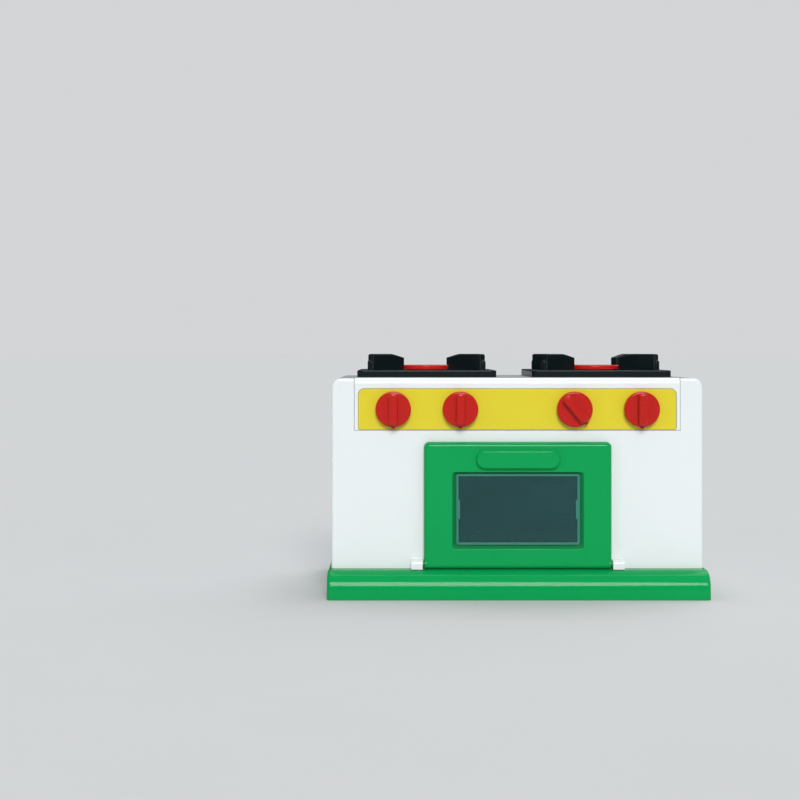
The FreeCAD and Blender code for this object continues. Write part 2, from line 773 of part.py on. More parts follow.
def burner_cap(side, label):
    """Red disc on a round foot, with a stem through the hob plate."""
    cap = Piece(label)
    under = d.burner_rise - d.burner_thick
    cap.add("XY", under, d.burner_rise, circle(ZERO, ZERO, d.burner_radius))
    cap.round_edges(d.burner_edge_round, lambda box: same(box.ZMin, d.burner_rise))
    dish = d.burner_radius - d.burner_dish_margin
    cap.cut("XY", d.burner_rise - d.burner_dish_depth, d.burner_rise + d.overrun, circle(ZERO, ZERO, dish))
    cap.add("XY", ZERO, under + d.bite, circle(ZERO, ZERO, d.burner_foot_radius))
    cap.add("XY", -(d.hob_thick + d.fit_gap + d.clip_thick + d.stem_tail), d.bite,
            circle(ZERO, ZERO, d.stem_radius))
    cap.place(side * support_x, support_y, hob_top)


def ring_clip(label, plane, low, shaft):
    """Flat push-on ring with a slit, between two levels on a shaft."""
    clip = Piece(label)
    high = low + d.clip_thick
    outer = shaft + d.clip_rim
    clip.add(plane, low, high, circle(ZERO, ZERO, outer), circle(ZERO, ZERO, shaft + d.pin_play))
    clip.cut(plane, low - d.overrun, high + d.overrun, rectangle(
        -d.clip_slit / 2, d.clip_slit / 2, ZERO, outer + d.overrun))
    return clip


# Front fittings

def control_panel():
    """Yellow plate in a shallow recess, with knob holes and pegs on its back."""
    panel = Piece("control_panel")
    panel.add("XZ", panel_front_y, panel_seat_y, rectangle(
        -panel_half, panel_half, panel_bottom, panel_top, d.panel_bottom_round, d.panel_top_round))
    panel.round_edges(d.panel_edge_round, lambda box: same(box.YMax, panel_front_y))
    panel.add("XZ", panel_seat_y - d.bite, wall_in_y + d.peg_proud, *circles(
        [(x, knob_z) for x in panel_peg_places], d.panel_peg_radius))
    panel.cut("XZ", panel_front_y - d.overrun, panel_seat_y + d.overrun, *circles(
        [(x, knob_z) for x in knob_places], d.shaft_radius + d.pin_play))


def knob(number, x, turn):
    """Round knob with a grip bar and a pointer on its rim, its shaft and the ring that keeps it."""
    dial = Piece(f"knob_{number}")
    face = -d.run_gap - d.knob_disc
    reach = d.knob_radius - d.knob_disc_round
    dial.add("XZ", face, -d.run_gap, circle(ZERO, ZERO, d.knob_radius))
    dial.round_edges(d.knob_disc_round, lambda box: same(box.YMax, face))
    tip = face - d.grip_height
    dial.add("XZ", tip, face + d.bite, rectangle(
        -d.grip_width / 2, d.grip_width / 2, -reach, reach, d.grip_end_round, d.grip_end_round))
    dial.round_edges(d.grip_round, lambda box: same(box.YMax, tip))
    dial.add("XZ", face + d.pointer_set, -d.run_gap, rectangle(
        -d.pointer_width / 2, d.pointer_width / 2, -d.knob_radius - d.pointer_proud, -reach,
        d.pointer_round))
    wall_back = wall_in_y - panel_front_y
    dial.add("XZ", -d.run_gap - d.bite, wall_back + d.fit_gap + d.clip_thick + d.shaft_tail,
             circle(ZERO, ZERO, d.shaft_radius))
    ring = ring_clip(f"knob_clip_{number}", "XZ", wall_back + d.fit_gap, d.shaft_radius)
    for piece in (dial, ring):
        piece.body.Placement = FreeCAD.Placement(
            FreeCAD.Vector(), FreeCAD.Rotation(FreeCAD.Vector(0, -1, 0), turn))
        piece.place(x, panel_front_y, knob_z)


# Door

def door_frame():
    """Green drop-down door, hollow at the back, with a round foot and a stub pin at each side."""
    door = Piece("door_frame")
    door.add("XZ", door_front_y, door_back_y, rectangle(
        -door_half, door_half, pivot_z, door_top, None, d.door_top_round))
    door.round_edges(d.door_edge_round, lambda box: (
        same(box.YMax, door_front_y) and box.ZMax > pivot_z.value + d.bite.value))
    foot = door_half - d.foot_inset
    door.add("YZ", -foot, foot, circle(pivot_y, pivot_z, d.door_thick / 2))
    door.add("YZ", -pin_end, pin_end, circle(pivot_y, pivot_z, d.pin_radius))
    door.cut("XZ", skin_back_y, door_back_y + d.overrun, rectangle(
        -pocket_half, pocket_half, pocket_bottom, pocket_top))
    margin = d.recess_margin
    land = d.fit_gap + d.recess_land
    door.cut_sloped(
        "XZ",
        (door_front_y, rectangle(
            -window_half - margin, window_half + margin, window_bottom - margin, window_top + d.recess_head,
            d.recess_round, d.recess_round)),
        (door_front_y + d.recess_depth, rectangle(
            -window_half - land, window_half + land, window_bottom - land, window_top + land,
            d.window_round, d.window_round)))
    gap = d.fit_gap
    door.cut("XZ", door_front_y, skin_back_y + d.overrun, rectangle(
        -window_half - gap, window_half + gap, window_bottom - gap, window_top + gap,
        d.window_round + gap, d.window_round + gap))
    door.add("XZ", skin_back_y - d.bite, retainer_front_y, *circles(mini_places, d.mini_boss_radius))
    door.cut("XZ", retainer_front_y - d.mini_grip, retainer_front_y + d.overrun,
             *circles(mini_places, mini_pilot_radius))
    door.cut("XZ", door_front_y - d.overrun, skin_back_y + d.overrun,
             *circles(handle_pegs, d.handle_peg_radius + d.pin_play))


handle_pegs = [(side * d.handle_peg_spread / 2, handle_z) for side in SIDES]


def door_handle():
    """Stadium-shaped pull with two pegs through the door's skin."""
    handle = Piece("door_handle")
    tip = door_front_y - d.handle_proud
    handle.add("XZ", tip, door_front_y, stadium(
        -d.handle_width / 2, d.handle_width / 2, handle_z, d.handle_height / 2))
    handle.round_edges(d.handle_edge_round, lambda box: same(box.YMax, tip))
    handle.add("XZ", door_front_y - d.bite, skin_back_y + d.handle_peg_tail,
               *circles(handle_pegs, d.handle_peg_radius))


def door_window():
    """Clear tray with a flange behind the door's skin, a raised rim and a tab at each side."""
    pane = Piece("door_window")
    lap = d.pane_flange
    pane.add("XZ", skin_back_y, retainer_front_y, rectangle(
        -window_half - lap, window_half + lap, window_bottom - lap, window_top + lap,
        d.window_round, d.window_round))
    rim_y = door_front_y + d.pane_set
    pane.add("XZ", rim_y, skin_back_y + d.bite, rectangle(
        -window_half, window_half, window_bottom, window_top, d.window_round, d.window_round))
    rim = d.pane_rim_width
    field_y = rim_y + d.pane_rim_proud
    pane.cut("XZ", rim_y - d.overrun, field_y, rectangle(
        rim - window_half, window_half - rim, window_bottom + rim, window_top - rim))
    for low, high in both_sides(window_half - d.tab_width, window_half - rim / 2):
        pane.add("XZ", rim_y, field_y + d.bite, rectangle(
            low, high, window_z - d.tab_height / 2, window_z + d.tab_height / 2))
    wall = d.pane_wall
    pane.cut("XZ", field_y + wall, retainer_front_y + d.overrun, rectangle(
        wall - window_half, window_half - wall, window_bottom + wall, window_top - wall))


def window_retainer():
    """Inner door panel that holds the pane, with the catch that snaps under the opening's top edge."""
    retainer = Piece("window_retainer")
    half = pocket_half - d.fit_gap
    retainer.add("XZ", retainer_front_y, door_back_y, rectangle(
        -half, half, pocket_bottom + d.fit_gap, pocket_top - d.fit_gap))
    lap = d.retainer_lap
    retainer.cut("XZ", retainer_front_y - d.overrun, door_back_y + d.overrun, rectangle(
        lap - window_half, window_half - lap, window_bottom + lap, window_top - lap,
        d.window_round, d.window_round))
    retainer.cut("XZ", retainer_front_y - d.overrun, door_back_y + d.overrun,
                 *circles(mini_places, mini_pilot_radius))
    retainer.cut("XZ", door_back_y - d.mini_head_height, door_back_y + d.overrun,
                 *circles(mini_places, d.mini_head_radius + d.pin_play))
    tongue_top = opening_top - d.catch_clear - d.catch_lip
    tongue_end = door_back_y + d.catch_reach
    side = d.catch_width / 2
    retainer.add("YZ", -side, side, rectangle(
        door_back_y - d.bite, tongue_end, tongue_top - d.catch_thick, tongue_top))
    retainer.add("YZ", -side, side, rectangle(
        tongue_end - d.catch_thick, tongue_end, tongue_top - d.bite, tongue_top + d.catch_lip))


# Oven cavity

def oven_liner():
    """Dark box behind the door opening, with a flange on the front wall and two shelf runners."""
    liner = Piece("oven_liner")
    wall = d.liner_wall
    flange = wall + d.liner_flange
    liner.add("XZ", wall_in_y, liner_rear_y, rectangle(
        -opening_half - wall, opening_half + wall, opening_bottom - wall, opening_top + wall,
        d.opening_round + wall, d.opening_round + wall))
    liner.add("XZ", wall_in_y, wall_in_y + wall, rectangle(
        -opening_half - flange, opening_half + flange, opening_bottom - flange, opening_top + flange,
        d.opening_round + wall, d.opening_round + wall))
    liner.cut("XZ", wall_in_y - d.overrun, liner_rear_y - wall, rectangle(
        -opening_half, opening_half, opening_bottom, opening_top, d.opening_round, d.opening_round))
    pegs = [(side * liner_peg_x, z) for side in SIDES for z in (opening_bottom, opening_top)]
    liner.cut("XZ", wall_in_y - d.overrun, wall_in_y + wall + d.overrun,
              *circles(pegs, d.liner_peg_radius + d.pin_play))
    for low, high in both_sides(opening_half - d.runner_width, opening_half + d.bite):
        liner.add("XY", shelf_z - d.runner_thick, shelf_z, rectangle(
            low, high, wall_in_y + d.shelf_front, liner_rear_y - wall + d.bite))


def oven_shelf():
    """Slotted shelf that lies on the liner's runners."""
    shelf = Piece("oven_shelf")
    half = opening_half - d.fit_gap
    start = wall_in_y + d.shelf_front
    end = liner_rear_y - d.liner_wall - d.fit_gap
    shelf.add("XY", shelf_z, shelf_z + d.shelf_thick, rectangle(-half, half, start, end))
    slot_span = 2 * (half - d.shelf_border) + d.shelf_bar
    pitch = slot_span / SHELF_SLOTS
    slots = []
    for index in range(SHELF_SLOTS):
        left = d.shelf_border - half + index * pitch
        slots.append(rectangle(
            left, left + pitch - d.shelf_bar, start + d.shelf_border, end - d.shelf_border))
    shelf.cut("XY", shelf_z - d.overrun, shelf_z + d.shelf_thick + d.overrun, *slots)


# Fasteners

def base_screws():
    screws = Piece("base_screws")
    seat = base_top - d.base_wall - d.post_height
    screws.add("XY", seat - d.screw_head_height, seat, *circles(base_screw_places, d.screw_head_radius))
    screws.add("XY", seat - d.bite, base_top + d.screw_grip, *circles(base_screw_places, d.screw_radius))


def rear_screws():
    screws = Piece("rear_screws")
    screws.add("XZ", rear_y, rear_y + d.screw_head_height, *circles(rear_screw_places, d.screw_head_radius))
    screws.add("XZ", cover_in_y - d.screw_grip, rear_y + d.bite, *circles(rear_screw_places, d.screw_radius))


def retainer_screws():
    screws = Piece("retainer_screws")
    seat = door_back_y - d.mini_head_height
    screws.add("XZ", seat, door_back_y, *circles(mini_places, d.mini_head_radius))
    screws.add("XZ", retainer_front_y - d.mini_grip + d.fit_gap, seat + d.bite,
               *circles(mini_places, d.mini_radius))


def build():
    base_tray()
    cabinet_shell()
    rear_cover()
    hob_plate()
    for side, name in zip(SIDES, ("left", "right")):
        pan_support(side, f"pan_support_{name}")
        burner_cap(side, f"burner_cap_{name}")
        clip_under = -d.hob_thick - d.fit_gap - d.clip_thick
        clip = ring_clip(f"burner_clip_{name}", "XY", clip_under, d.stem_radius)
        clip.place(side * support_x, support_y, hob_top)
    control_panel()
    for number, (x, turn) in enumerate(zip(knob_places, KNOB_TURNS), start=1):
        knob(number, x, turn)
    door_frame()
    door_handle()
    door_window()
    window_retainer()
    oven_liner()
    oven_shelf()
    base_screws()
    rear_screws()
    retainer_screws()


def check_and_write():
    doc.recompute()
    failed = [item.Label for item in doc.Objects if {"Invalid", "Error"} & set(item.State)]
    if failed:
        raise RuntimeError(f"failed objects: {failed}")
    for piece in pieces:
        shape = piece.body.Shape
        if shape.isNull() or not shape.isValid():
            raise RuntimeError(f"bad shape: {piece.body.Label}")
    os.makedirs("parts", exist_ok=True)
    for piece in pieces:
        piece.body.Shape.exportStep(f"parts/{piece.body.Label}.step")
        print(piece.body.Label, len(piece.body.Shape.Solids), round(piece.body.Shape.Volume))


build()
check_and_write()
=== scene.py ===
import json
import math

import bpy
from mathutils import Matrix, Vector


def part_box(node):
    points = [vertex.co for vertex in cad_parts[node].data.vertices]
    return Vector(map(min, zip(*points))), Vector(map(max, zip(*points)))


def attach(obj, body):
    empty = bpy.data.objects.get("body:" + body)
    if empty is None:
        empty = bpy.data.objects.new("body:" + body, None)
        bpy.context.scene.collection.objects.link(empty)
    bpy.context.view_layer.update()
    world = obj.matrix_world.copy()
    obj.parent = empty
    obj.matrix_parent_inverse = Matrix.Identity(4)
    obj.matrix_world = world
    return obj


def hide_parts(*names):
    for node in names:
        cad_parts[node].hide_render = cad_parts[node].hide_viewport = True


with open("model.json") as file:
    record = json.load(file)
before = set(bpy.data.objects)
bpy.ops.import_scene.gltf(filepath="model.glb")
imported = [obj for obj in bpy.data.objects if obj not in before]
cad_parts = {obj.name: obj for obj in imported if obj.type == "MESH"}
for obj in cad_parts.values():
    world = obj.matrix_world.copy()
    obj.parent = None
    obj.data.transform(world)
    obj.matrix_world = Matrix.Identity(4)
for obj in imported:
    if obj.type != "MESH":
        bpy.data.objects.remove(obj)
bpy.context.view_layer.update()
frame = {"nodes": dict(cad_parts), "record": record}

# Lengths are metres, written in millimetres through this unit
MM = 0.001
FULL_TURN = 2 * math.pi
QUARTER_TURN = FULL_TURN / 4

# Viewpoint: level with the grates' tops, to the left of the middle, with the view shifted down
EYE_SIDE = -75.9 * MM
EYE_HEIGHT = 158 * MM
VIEW_MIDDLE_HEIGHT = 127.3 * MM
EYE_DISTANCE = 970 * MM
VIEW_WIDTH = 517.6 * MM
SENSOR = 36.0


# Node trees

class Wire:
    """A value in a node tree. Sums, products and powers of wires add Math nodes to that tree."""

    def __init__(self, graph, socket):
        self.graph = graph
        self.socket = socket

    def maths(self, operation, first, second):
        return self.graph.node("ShaderNodeMath", {"operation": operation}, {0: first, 1: second})

    def __add__(self, other):
        return self.maths("ADD", self, other)

    def __radd__(self, other):
        return self.maths("ADD", other, self)

    def __sub__(self, other):
        return self.maths("SUBTRACT", self, other)

    def __rsub__(self, other):
        return self.maths("SUBTRACT", other, self)

    def __mul__(self, other):
        return self.maths("MULTIPLY", self, other)

    def __rmul__(self, other):
        return self.maths("MULTIPLY", other, self)

    def __truediv__(self, other):
        return self.maths("DIVIDE", self, other)

    def __pow__(self, other):
        return self.maths("POWER", self, other)


class Graph:
    """A node tree that is filled by calls."""

    def __init__(self, tree):
        self.tree = tree
        tree.nodes.clear()

    def node(self, kind, settings=None, sockets=None, output=0):
        """Add a node: its settings first, then its sockets' values or links. Gives one output, or several."""
        made = self.tree.nodes.new(kind)
        for name, value in (settings or {}).items():
            setattr(made, name, value)
        for name, value in (sockets or {}).items():
            socket = made.inputs[name]
            for item in value if isinstance(value, list) else [value]:
                if isinstance(item, Wire):
                    self.tree.links.new(item.socket, socket)
                else:
                    socket.default_value = item
        if not made.outputs:
            return None
        if isinstance(output, tuple):
            return [Wire(self, made.outputs[place]) for place in output]
        return Wire(self, made.outputs[output])

    def mix(self, first, second, factor):
        """A colour between two colours."""
        return self.node("ShaderNodeMix", {"data_type": "RGBA"}, {0: factor, 6: first, 7: second}, 2)


# Finishes: the sizes of the marks in a surface, and the bands of noise that count as a mark

EDGE_RADIUS = 0.5 * MM
PANE_EDGE_RADIUS = 0.3 * MM
EDGE_SAMPLES = 6
EDGE_BAND = (0.015, 0.16)
# How far edges, and the pane's rim, are paled: partly wear, partly painted highlight
EDGE_WEAR_AND_PAINTED_LIGHT_SHARE = 0.45
FLOW_SIZE = 38 * MM
FLOW_STRETCH = (1, 1, 0.45)
FLOW_HEIGHT = 0.05 * MM
CLOUD_SIZE = 9 * MM
SPOT_SIZE = 1.1 * MM
SPOT_BAND = (0.74, 0.80)
RUB_SIZE = 2.2 * MM
RUB_STRETCH = (0.12, 1, 1)
RUB_BAND = (0.60, 0.72)
PEEL_SIZE = 1.8 * MM
GLOW_DEPTH = 1.6 * MM
HAIR_TURNS = ((0.3, 0.5, 0.4), (-0.2, -0.9, 0.7))
HAIR_STRETCH = 40
HAIR_PITCH = 0.45 * MM
HAIR_BAND = (0.72, 0.76)
# Groove round the door's window: its reach, start, end and soft fade, and the share of colour left by the
# painted shade that darkens it
GROOVE_REACH = 3.0 * MM
GROOVE_START = 0.08 * MM
GROOVE_END = 2.4 * MM
GROOVE_FADE = 0.35 * MM
GROOVE_PAINTED_SHADE = 0.56
PANE_FLOW_SIZE = 22 * MM
PANE_FLOW_STRETCH = (0.3, 1, 1)
PANE_FLOW_HEIGHT = 0.06 * MM
PANE_RIM = (0.2 * MM, 0.5 * MM)
SPARK_SIZE = 1.2 * MM
SPARK_HEIGHT = 0.003 * MM
SPARK_CLOUD_SIZE = 24 * MM
STEEL_GRAIN_SIZE = 0.3 * MM
STEEL_GRAIN_STRETCH = (1, 0.2, 1)
STEEL_CLOUD_SIZE = 2 * MM


def shade(colour, share):
    """A colour with its light scaled."""
    return (*(min(1.0, share * value) for value in colour), 1.0)


def noise(graph, place, size, detail=2.0, stretch=(1, 1, 1)):
    """Smooth noise from 0 to 1 whose lumps have about the given size in metres."""
    spread = graph.node("ShaderNodeMapping", None, {"Vector": place, "Scale": stretch})
    return graph.node("ShaderNodeTexNoise", None, {
        "Vector": spread, "Scale": 1 / size, "Detail": detail, "Roughness": 0.55})


def band(graph, value, low, high):
    """0 below a value, 1 above another, and a smooth step between."""
    return graph.node("ShaderNodeMapRange", {"interpolation_type": "SMOOTHSTEP"}, {
        "Value": value, "From Min": low, "From Max": high})


def rounded(graph, radius):
    """The normal with sharp edges softened to a radius, and a mask that is 1 along those edges."""
    soft = graph.node("ShaderNodeBevel", {"samples": EDGE_SAMPLES}, {"Radius": radius})
    plain = graph.node("ShaderNodeNewGeometry", output=1)
    agreement = graph.node("ShaderNodeVectorMath", {"operation": "DOT_PRODUCT"}, {0: soft, 1: plain}, 1)
    return soft, band(graph, 1 - agreement, *EDGE_BAND)


def hairlines(graph, place):
    """1 along faint handling marks, as fine as hairs, that run two ways, and 0 between them."""
    runs = []
    for turn in HAIR_TURNS:
        along = graph.node("ShaderNodeMapping", {"vector_type": "TEXTURE"}, {
            "Vector": place, "Rotation": turn, "Scale": (HAIR_STRETCH, 1, 1)})
        runs.append(band(graph, graph.node("ShaderNodeTexNoise", None, {
            "Vector": along, "Scale": 1 / HAIR_PITCH, "Detail": 0.0}), *HAIR_BAND))
    return runs[0].maths("MAXIMUM", *runs)


def inside(graph, place, low, high, fade):
    """1 inside a box and 0 outside it, with a soft step at its sides."""
    mask = 1.0
    values = graph.node("ShaderNodeSeparateXYZ", None, {0: place}, (0, 1, 2))
    for value, start, end in zip(values, low, high):
        mask = mask * band(graph, value, start, start + fade) * (1 - band(graph, value, end - fade, end))
    return mask


def surface(name, sockets):
    """A material whose Principled shader takes its sockets from a function of its graph."""
    material = bpy.data.materials.new(name)
    material.use_nodes = True
    graph = Graph(material.node_tree)
    place = graph.node("ShaderNodeTexCoord", output=3)
    shader = graph.node("ShaderNodeBsdfPrincipled", None, sockets(graph, place))
    graph.node("ShaderNodeOutputMaterial", None, {"Surface": shader})
    return material


def moulded(name, colour, gloss, tint=0.05, specks=0.0, edge_wear_and_highlight=0.25, peel=0.005 * MM, glow=0.0,
            coat=0.03, shine=0.25, groove=None):
    """Injection-moulded plastic: flow clouds, pigment specks, rubbed patches, orange peel, and edges paled
    partly by wear and partly by a painted highlight.

    Inside a groove's box, the surface is matt and its colour is darkened with painted shade."""
    def sockets(graph, place):
        flow = noise(graph, place, FLOW_SIZE, 3.0, FLOW_STRETCH)
        clouds = noise(graph, place, CLOUD_SIZE, 4.0)
        spots = band(graph, noise(graph, place, SPOT_SIZE, 1.0), *SPOT_BAND)
        rubs = band(graph, noise(graph, place, RUB_SIZE, 3.0, RUB_STRETCH), *RUB_BAND)
        hairs = hairlines(graph, place)
        soft, edges = rounded(graph, EDGE_RADIUS)
        plain = graph.mix(shade(colour, 1 - tint), shade(colour, 1 + tint), flow * 0.6 + clouds * 0.4)
        speckled = graph.mix(plain, shade(colour, 1 - 4 * tint), spots * specks)
        # Painted shade: inside the groove's box the colour is darkened as if the recess lay in shadow, and
        # the same mask makes it matt
        groove_shade_and_matt = inside(graph, place, *groove, GROOVE_FADE) if groove else 0.0
        groove_shaded = graph.mix(speckled, shade(colour, GROOVE_PAINTED_SHADE), groove_shade_and_matt) if groove else speckled
        # Edges paled towards white: partly wear, partly a painted highlight standing in for light caught
        # along them
        pale_edge_and_highlight = tuple(value + edge_wear_and_highlight * (1 - value) for value in colour)
        waves = graph.node("ShaderNodeBump", None, {
            "Height": flow, "Distance": FLOW_HEIGHT, "Strength": 0.6, "Normal": soft})
        fine = graph.node("ShaderNodeBump", None, {
            "Height": noise(graph, place, PEEL_SIZE, 1.0), "Distance": peel, "Normal": waves})
        return {
            "Base Color": graph.mix(groove_shaded, shade(pale_edge_and_highlight, 1.0), edges * EDGE_WEAR_AND_PAINTED_LIGHT_SHARE),
            "Roughness": gloss + clouds * 0.04 + rubs * 0.05 + hairs * 0.12 + edges * 0.04 + groove_shade_and_matt * 0.25,
            "Coat Weight": coat + flow * 0.04,
            "Coat Roughness": 0.08,
            "Specular IOR Level": shine,
            "Subsurface Weight": glow,
            "Subsurface Radius": (GLOW_DEPTH, GLOW_DEPTH, GLOW_DEPTH),
            "Subsurface Scale": 1.0,
            "IOR": 1.52,
            "Normal": fine,
        }
    return surface(name, sockets)


def clear_moulding(name, colour, rim_painted_light, rim_face):
    """Clear styrene: smoky in the field; rougher on the rim that stands nearest the front, which is paled
    with a painted highlight, as are the pane's edges.
    """
    def sockets(graph, place):
        flow = noise(graph, place, PANE_FLOW_SIZE, 3.0, PANE_FLOW_STRETCH)
        depth = graph.node("ShaderNodeSeparateXYZ", None, {0: place}, 1)
        rim = 1 - band(graph, depth, *(rim_face + behind for behind in PANE_RIM))
        soft, edges = rounded(graph, PANE_EDGE_RADIUS)
        ripple = graph.node("ShaderNodeBump", None, {
            "Height": flow, "Distance": PANE_FLOW_HEIGHT, "Strength": 0.5, "Normal": soft})
        smoke = graph.mix(shade(colour, 0.75), shade(colour, 1.25), flow)
        return {
            # Painted highlight: the rim nearest the front and the pane's edges are paled towards a light tint
            "Base Color": graph.mix(smoke, shade(rim_painted_light, 1.0), rim * EDGE_WEAR_AND_PAINTED_LIGHT_SHARE + edges * EDGE_WEAR_AND_PAINTED_LIGHT_SHARE),
            "Roughness": 0.05 + flow * 0.05 + rim * 0.12 + hairlines(graph, place) * 0.15,
            "Alpha": 0.86 + flow * 0.04 + rim * 0.04,
            "Specular IOR Level": 0.16,
            "IOR": 1.58,
            "Normal": ripple,
        }
    return surface(name, sockets)


def spark_textured(name, colour):
    """Satin moulding with the fine grain of a spark-eroded tool."""
    def sockets(graph, place):
        grain = noise(graph, place, SPARK_SIZE, 1.0)
        clouds = noise(graph, place, SPARK_CLOUD_SIZE, 3.0)
        soft, edges = rounded(graph, EDGE_RADIUS)
        bumps = graph.node("ShaderNodeBump", None, {
            "Height": grain, "Distance": SPARK_HEIGHT, "Strength": 0.6, "Normal": soft})
        worn = graph.mix(shade(colour, 0.85), shade(colour, 1.15), clouds)
        return {
            # Edges paled to a lighter grey: partly wear, partly a painted highlight
            "Base Color": graph.mix(worn, shade(colour, 2.2), edges * 0.5),
            "Roughness": 0.40 + grain * 0.16 - edges * 0.08,
            "Normal": bumps,
        }
    return surface(name, sockets)


def plated_steel(name, colour):
    """Zinc-plated steel with a drawn grain."""
    def sockets(graph, place):
        grain = noise(graph, place, STEEL_GRAIN_SIZE, 3.0, STEEL_GRAIN_STRETCH)
        clouds = noise(graph, place, STEEL_CLOUD_SIZE, 2.0)
        return {
            "Base Color": graph.mix(shade(colour, 0.85), shade(colour, 1.15), clouds),
            "Metallic": 1.0,
            "Roughness": 0.24 + grain * 0.2,
        }
    return surface(name, sockets)


WHITE = (0.79, 0.835, 0.85)
GREEN = (0.002, 0.33, 0.085)
YELLOW = (0.72, 0.61, 0.03)
RED = (0.50, 0.010, 0.006)
BLACK = (0.003, 0.008, 0.010)
SMOKE = (0.018, 0.066, 0.068)
PANE_RIM_PAINTED_LIGHT = (0.08, 0.42, 0.32)
CAVITY = (0.02, 0.024, 0.024)
NYLON = (0.72, 0.70, 0.62)
ZINC = (0.58, 0.58, 0.60)
GREEN_GLOSS = {"gloss": 0.06, "tint": 0.05, "specks": 0.3, "edge_wear_and_highlight": 0.12, "shine": 0.11}

finishes = {
    "white_plastic": moulded("white gloss plastic", WHITE, gloss=0.13, tint=0.015, glow=0.15),
    "green_plastic": moulded("green gloss plastic", GREEN, **GREEN_GLOSS),
    "yellow_plastic": moulded("yellow gloss plastic", YELLOW, gloss=0.13, tint=0.04, specks=0.3,
                              edge_wear_and_highlight=0.3),
    "red_plastic": moulded("red gloss plastic", RED, gloss=0.18, tint=0.06, specks=0.3, edge_wear_and_highlight=0.02),
    "black_plastic": moulded("black satin plastic", BLACK, gloss=0.30, tint=0.12, edge_wear_and_highlight=0.12,
                             peel=0.008 * MM, shine=0.14),
    "clear_plastic": clear_moulding("smoky clear plastic", SMOKE, PANE_RIM_PAINTED_LIGHT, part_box("door_window")[0].y),
    "dark_liner": spark_textured("textured dark plastic", CAVITY),
    "natural_nylon": moulded("natural nylon", NYLON, gloss=0.42, tint=0.04, coat=0.0),
    "screw_steel": plated_steel("zinc-plated steel", ZINC),
}


def window_groove():
    """The sunken border round the door's pane, as the corners of a box behind the door's front; the door's
    green is darkened there with painted shade.
    """
    low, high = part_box("door_window")
    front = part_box("door_frame")[0].y
    return (Vector((low.x - GROOVE_REACH, front + GROOVE_START, low.z - GROOVE_REACH)),
            Vector((high.x + GROOVE_REACH, front + GROOVE_END, high.z + GROOVE_REACH)))


# The door's green, with painted shade darkening the groove round its window
door_green = moulded("green gloss plastic with painted shade in a matt groove", GREEN, **GREEN_GLOSS, groove=window_groove())

slot_of = {part["node"]: part["material_slot"] for part in frame["record"]["subparts"]}

for node, slot in slot_of.items():
    mesh = frame["nodes"][node].data
    mesh.materials.clear()
    mesh.materials.append(door_green if node == "door_frame" else finishes[slot])


# Pieces that repeat

DEPTH_AXIS = 1
HEIGHT_AXIS = 2
SHARP_ANGLE = math.radians(32)

# A screw. The recess and the overlap are shares of its head's radius or height
SCREW_SIDES = 40
SCREW_SEED = 11
DOME_RINGS = 8
DOME_NARROWING = 0.7
RECESS_LENGTH = 1.2
RECESS_WIDTH = 0.24
RECESS_RISE = 0.95
SHANK_OVERLAP = 0.2

# Head radius, head height and shank radius
WALL_SCREW = (2.8 * MM, 1.8 * MM, 1.3 * MM)
PANEL_SCREW = (2.0 * MM, 1.0 * MM, 0.9 * MM)

SHELF_BARS = 8
SHELF_BORDER = 6.0 * MM
SHELF_BAR = 3.2 * MM
SHELF_EDGE = 0.8 * MM


def growing(name, *sizes):
    """An empty geometry tree with points, named sizes and a mesh. Gives its graph and its inputs' wires."""
    tree = bpy.data.node_groups.new(name, "GeometryNodeTree")
    graph = Graph(tree)
    tree.interface.new_socket("Points", in_out="INPUT", socket_type="NodeSocketGeometry")
    for size in sizes:
        tree.interface.new_socket(size, in_out="INPUT", socket_type="NodeSocketFloat")
    tree.interface.new_socket("Mesh", in_out="OUTPUT", socket_type="NodeSocketGeometry")
    entry = tree.nodes.new("NodeGroupInput")
    return graph, {socket.name: Wire(graph, socket) for socket in entry.outputs}


def close(graph, instances, finish):
    """End a geometry tree with its copies made real and given their finish."""
    real = graph.node("GeometryNodeRealizeInstances", None, {"Geometry": instances})
    dressed = graph.node("GeometryNodeSetMaterial", None, {"Geometry": real, "Material": finish})
    graph.node("NodeGroupOutput", None, {0: dressed})
    return graph.tree


def grown(name, tree, points, sizes, body, node):
    """What a geometry tree grows on some points, as a plain mesh in the place of a node."""
    seed = bpy.data.meshes.new(name)
    seed.from_pydata(points, [], [])
    piece = bpy.data.objects.new(name, seed)
    bpy.context.scene.collection.objects.link(piece)
    growth = piece.modifiers.new("growth", "NODES")
    growth.node_group = tree
    for socket in tree.interface.items_tree:
        if socket.name in sizes:
            growth[socket.identifier] = sizes[socket.name]
    mesh = bpy.data.meshes.new_from_object(piece.evaluated_get(bpy.context.evaluated_depsgraph_get()))
    piece.modifiers.clear()
    piece.data = mesh
    mesh.shade_smooth()
    mesh.set_sharp_from_angle(angle=SHARP_ANGLE)
    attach(piece, body)
    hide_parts(node)


def moved(graph, shape, offset):
    """A shape carried along an offset."""
    return graph.node("GeometryNodeTransform", None, {"Geometry": shape, "Translation": offset})


